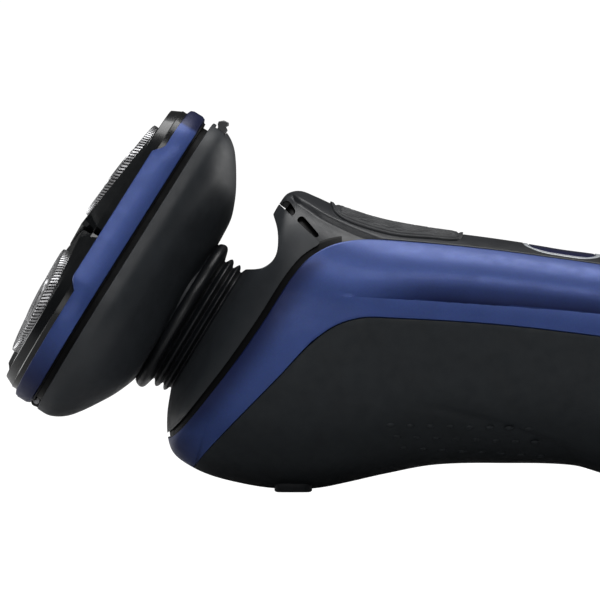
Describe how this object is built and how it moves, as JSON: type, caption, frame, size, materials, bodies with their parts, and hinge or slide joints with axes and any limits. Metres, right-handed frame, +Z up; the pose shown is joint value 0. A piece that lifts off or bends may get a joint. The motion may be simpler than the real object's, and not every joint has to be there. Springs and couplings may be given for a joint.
{
  "type": "electric shaver",
  "caption": "Rotary electric shaver with floating slotted guards on a tilting neck, a flip-open hair chamber, a contoured grip and a two-pin charging socket.",
  "frame": {"origin": "on the surface that the shaver lies on, under the middle of its length and width", "axes": "+X from the head to the tail, +Y across the handle, +Z up from the surface; the power button faces +Z"},
  "size_m": [0.1647, 0.066, 0.0764],
  "materials": {
    "gloss_black": "polished",
    "satin_blue": "satin metallic",
    "matte_charcoal": "fine matte",
    "grip_black": "soft-touch matte",
    "pad_rubber": "ribbed",
    "light_ring": "translucent white",
    "inner_black": "moulded",
    "plated_metal": "plated",
    "steel": "turned",
    "bellows_rubber": "glossy",
    "cell_wrap": "shrink wrap",
    "board_green": "solder mask",
    "gear_plastic": "moulded",
    "button_navy": "polished",
    "button_grey": "satin",
    "guard_steel": "bright",
    "retainer_amber": "moulded"
  },
  "bodies": {
    "handle": {"front_cover": "gloss_black", "side_band": "satin_blue", "neck_collar": "matte_charcoal", "rear_grip": "grip_black", "trim_strip": "gloss_black", "thumb_pad": "pad_rubber", "button_light_ring": "light_ring", "rest_foot": "grip_black", "tail_cap": "matte_charcoal", "charge_socket": "inner_black", "charge_pins": "plated_metal", "neck_yoke": "inner_black", "pivot_pins": "steel", "bellows": "bellows_rubber", "motor_can": "steel", "motor_end_cap": "inner_black", "motor_screws": "steel", "chassis": "inner_black", "battery_cell": "cell_wrap", "battery_tabs": "plated_metal", "circuit_board": "board_green", "board_screws": "steel", "button_switch": "inner_black", "status_lamps": "light_ring"},
    "motor_rotor": {"motor_shaft": "steel", "drive_ball": "gear_plastic"},
    "power_button": {"power_button": "button_navy"},
    "head": {"hair_chamber": "matte_charcoal", "pivot_bracket": "inner_black", "gear_base": "gear_plastic", "gear_cover": "inner_black", "lid_hinge_bracket": "inner_black", "lid_hinge_pin": "steel"},
    "drive_gear": {"drive_gear": "gear_plastic"},
    "release_button": {"release_button": "button_grey"},
    "lid": {"blue_ring": "satin_blue", "head_frame": "inner_black", "lid_hinge_leaf": "inner_black"},
    "spindle_1": {"spindle_1": "gear_plastic"},
    "pod_1": {"pod_holder_1": "gloss_black", "guard_1": "guard_steel", "cutter_retainer_1": "retainer_amber"},
    "cutter_1": {"cutter_1": "guard_steel"},
    "spindle_2": {"spindle_2": "gear_plastic"},
    "pod_2": {"pod_holder_2": "gloss_black", "guard_2": "guard_steel", "cutter_retainer_2": "retainer_amber"},
    "cutter_2": {"cutter_2": "guard_steel"},
    "spindle_3": {"spindle_3": "gear_plastic"},
    "pod_3": {"pod_holder_3": "gloss_black", "guard_3": "guard_steel", "cutter_retainer_3": "retainer_amber"},
    "cutter_3": {"cutter_3": "guard_steel"}
  },
  "joints": [
    {"name": "motor_spin", "type": "hinge", "parent": "handle", "child": "motor_rotor", "pos_m": [-0.03646, 0, 0.02797], "axis": [-0.8536, 0, 0.521], "continuous": true},
    {"name": "head_pitch", "type": "hinge", "parent": "handle", "child": "head", "pos_m": [-0.04636, 0, 0.03401], "axis": [0, -1, 0], "range_deg": [-10, 10], "stiffness_Nm_per_rad": 0.6, "deforming": ["bellows"]},
    {"name": "power_press", "type": "slide", "parent": "handle", "child": "power_button", "axis": [-0.1481, 0, -0.989], "range_m": [0, 0.0006], "stiffness_N_per_m": 1500, "springref_m": -0.0004},
    {"name": "drive_gear_spin", "type": "hinge", "parent": "head", "child": "drive_gear", "pos_m": [-0.05353, 0, 0.03839], "axis": [-0.8536, 0, 0.521], "continuous": true},
    {"name": "lid_flip", "type": "hinge", "parent": "head", "child": "lid", "pos_m": [-0.07706, 0, 0.01808], "axis": [0, -1, 0], "range_deg": [0, 75]},
    {"name": "release_press", "type": "slide", "parent": "head", "child": "release_button", "axis": [-0.521, 0, -0.8536], "range_m": [0, 0.001], "stiffness_N_per_m": 600, "springref_m": -0.0005},
    {"name": "spindle_1_spin", "type": "hinge", "parent": "head", "child": "spindle_1", "pos_m": [-0.0456, 0, 0.05522], "axis": [-0.8536, 0, 0.521], "continuous": true},
    {"name": "pod_1_press", "type": "slide", "parent": "lid", "child": "pod_1", "axis": [0.7891, 0, -0.6143], "range_m": [0, 0.001], "stiffness_N_per_m": 400, "springref_m": -0.0008},
    {"name": "cutter_1_spin", "type": "hinge", "parent": "pod_1", "child": "cutter_1", "pos_m": [-0.06062, 0, 0.06439], "axis": [-0.7891, 0, 0.6143], "continuous": true},
    {"name": "spindle_2_spin", "type": "hinge", "parent": "head", "child": "spindle_2", "pos_m": [-0.06148, 0.01409, 0.0292], "axis": [-0.8536, 0, 0.521], "continuous": true},
    {"name": "pod_2_press", "type": "slide", "parent": "lid", "child": "pod_2", "axis": [0.8863, -0.0862, -0.455], "range_m": [0, 0.001], "stiffness_N_per_m": 400, "springref_m": -0.0008},
    {"name": "cutter_2_spin", "type": "hinge", "parent": "pod_2", "child": "cutter_2", "pos_m": [-0.07651, 0.01409, 0.03837], "axis": [-0.8863, 0.0862, 0.455], "continuous": true},
    {"name": "spindle_3_spin", "type": "hinge", "parent": "head", "child": "spindle_3", "pos_m": [-0.06148, -0.01409, 0.0292], "axis": [-0.8536, 0, 0.521], "continuous": true},
    {"name": "pod_3_press", "type": "slide", "parent": "lid", "child": "pod_3", "axis": [0.8863, 0.0862, -0.455], "range_m": [0, 0.001], "stiffness_N_per_m": 400, "springref_m": -0.0008},
    {"name": "cutter_3_spin", "type": "hinge", "parent": "pod_3", "child": "cutter_3", "pos_m": [-0.07651, -0.01409, 0.03837], "axis": [-0.8863, -0.0862, 0.455], "continuous": true}
  ],
  "couplings": [
    {"joint": "drive_gear_spin", "follows": "motor_spin", "ratio": 1},
    {"joint": "spindle_1_spin", "follows": "motor_spin", "ratio": -1.6429},
    {"joint": "cutter_1_spin", "follows": "motor_spin", "ratio": -1.6429},
    {"joint": "spindle_2_spin", "follows": "motor_spin", "ratio": -1.6429},
    {"joint": "cutter_2_spin", "follows": "motor_spin", "ratio": -1.6429},
    {"joint": "spindle_3_spin", "follows": "motor_spin", "ratio": -1.6429},
    {"joint": "cutter_3_spin", "follows": "motor_spin", "ratio": -1.6429}
  ]
}
